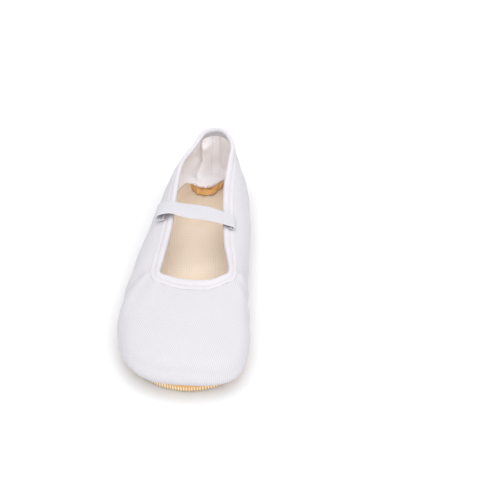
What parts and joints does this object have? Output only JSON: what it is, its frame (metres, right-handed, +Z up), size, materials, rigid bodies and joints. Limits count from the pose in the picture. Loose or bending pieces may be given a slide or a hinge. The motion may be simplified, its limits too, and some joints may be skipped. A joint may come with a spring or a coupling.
{
  "type": "ballet slipper",
  "caption": "Soft white canvas ballet slipper for the right foot with a low vamp, bound topline, instep elastic and full ribbed rubber sole.",
  "frame": {"origin": "centre of the bounding box on the ground plane", "axes": "+Z up, -Y towards the toe, +X towards the inner (big toe) side of a right foot"},
  "size_m": [0.0882, 0.2416, 0.0574],
  "materials": {
    "rubber_sole": "matt natural rubber with fine lengthwise ribs",
    "foam": "soft cellular foam",
    "insole_cloth": "beige plain weave",
    "twill": "white cotton twill, matt",
    "lining_knit": "off-white brushed cotton",
    "binding_cloth": "white folded cotton binding",
    "elastic_cord": "covered round elastic",
    "elastic_web": "white flat elastic webbing",
    "lining_tape": "off-white cotton tape",
    "thread": "white polyester sewing thread"
  },
  "bodies": {
    "slipper": {"outsole": "rubber_sole", "insole_foam": "foam", "insole_cover": "insole_cloth", "upper_shell": "twill", "lining": "lining_knit", "topline_band": "binding_cloth", "topline_elastic": "elastic_cord", "bartack_lateral": "thread", "bartack_medial": "thread", "heel_seam_tape": "lining_tape", "heel_seam_thread": "thread", "topline_stitching": "thread", "sole_seam_thread": "thread", "allowance_overlock": "thread"},
    "strap": {"instep_elastic": "elastic_web"}
  },
  "joints": [
    {"name": "instep_lift", "type": "slide", "parent": "slipper", "child": "strap", "axis": [0, 0, 1], "range_m": [0, 0.022], "stiffness_N_per_m": 120}
  ]
}
